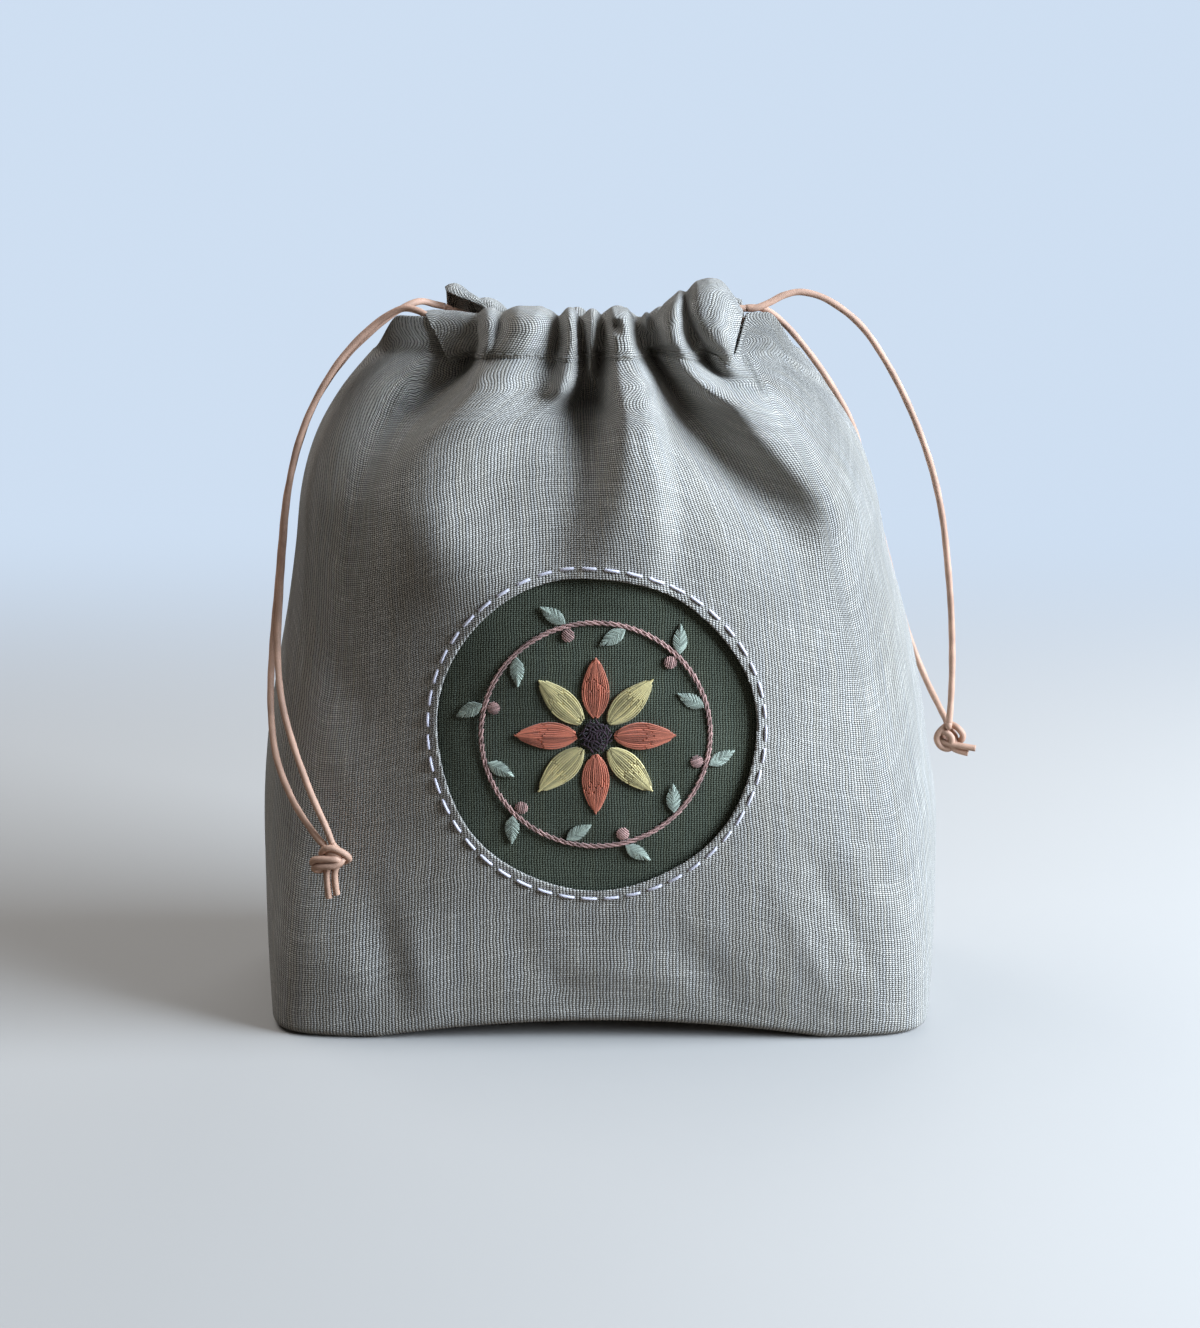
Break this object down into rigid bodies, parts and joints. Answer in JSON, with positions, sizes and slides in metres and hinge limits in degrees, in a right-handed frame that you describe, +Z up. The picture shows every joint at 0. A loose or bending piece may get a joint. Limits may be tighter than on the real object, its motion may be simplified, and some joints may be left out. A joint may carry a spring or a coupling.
{
  "type": "drawstring bag",
  "caption": "Standing linen drawstring bag with a boxed base, a round embroidered window in the front, gathered casings and knotted leather drawcords.",
  "frame": {"origin": "middle of the underside of the base, on the surface that the bag stands on", "axes": "+Z up to the mouth, -Y out of the front with the window, +X to the right of someone facing the front"},
  "size_m": [0.2178, 0.1079, 0.221],
  "materials": {
    "linen": "matt plain weave with slubs",
    "green_linen": "matt plain weave",
    "lining": "matt fine cotton",
    "leather": "natural round lace, waxed",
    "stitch_thread": "soft six-strand cotton",
    "seam_thread": "matt sewing cotton",
    "rust_thread": "satin stitch",
    "straw_thread": "satin stitch",
    "sage_thread": "satin stitch",
    "rose_thread": "chain stitch",
    "aubergine_thread": "satin stitch"
  },
  "bodies": {
    "root": {"front_panel": "linen", "back_panel": "linen", "front_lining": "lining", "back_lining": "lining", "window_patch": "green_linen", "window_running_stitch": "stitch_thread", "left_seam_thread": "seam_thread", "right_seam_thread": "seam_thread", "base_seam_thread": "seam_thread", "star_eye": "aubergine_thread", "wreath_stem": "rose_thread", "star_ray_1": "rust_thread", "star_ray_2": "straw_thread", "star_ray_3": "rust_thread", "star_ray_4": "straw_thread", "star_ray_5": "rust_thread", "star_ray_6": "straw_thread", "star_ray_7": "rust_thread", "star_ray_8": "straw_thread", "wreath_leaf_1": "sage_thread", "wreath_leaf_2": "sage_thread", "wreath_leaf_3": "sage_thread", "wreath_leaf_4": "sage_thread", "wreath_leaf_5": "sage_thread", "wreath_leaf_6": "sage_thread", "wreath_leaf_7": "sage_thread", "wreath_leaf_8": "sage_thread", "wreath_leaf_9": "sage_thread", "wreath_leaf_10": "sage_thread", "wreath_leaf_11": "sage_thread", "wreath_leaf_12": "sage_thread", "wreath_berry_1": "rose_thread", "wreath_berry_2": "rose_thread", "wreath_berry_3": "rose_thread", "wreath_berry_4": "rose_thread", "wreath_berry_5": "rose_thread", "wreath_berry_6": "rose_thread", "left_cord_bight": "leather", "right_cord_bight": "leather"},
    "front_rim": {"front_casing": "linen", "front_casing_stitch": "seam_thread", "left_cord_front_run": "leather", "right_cord_front_run": "leather"},
    "back_rim": {"back_casing": "linen", "back_casing_stitch": "seam_thread", "left_cord_back_run": "leather", "right_cord_back_run": "leather"},
    "left_tails": {"left_tail_front": "leather", "left_tail_back": "leather", "left_knot": "leather"},
    "right_tails": {"right_tail_front": "leather", "right_tail_back": "leather", "right_knot": "leather"}
  },
  "joints": [
    {"name": "mouth_front", "type": "slide", "parent": "root", "child": "front_rim", "axis": [0, -1, 0], "range_m": [-0.005, 0.028]},
    {"name": "mouth_back", "type": "slide", "parent": "root", "child": "back_rim", "axis": [0, 1, 0], "range_m": [-0.005, 0.028]},
    {"name": "left_tails_swing", "type": "hinge", "parent": "root", "child": "left_tails", "pos_m": [-0.0464, 0, 0.2116], "axis": [0, 1, 0], "range_deg": [0, 60]},
    {"name": "right_tails_swing", "type": "hinge", "parent": "root", "child": "right_tails", "pos_m": [0.0424, 0, 0.2132], "axis": [0, -1, 0], "range_deg": [0, 50]}
  ],
  "couplings": [
    {"joint": "mouth_back", "follows": "mouth_front", "ratio": 1}
  ]
}
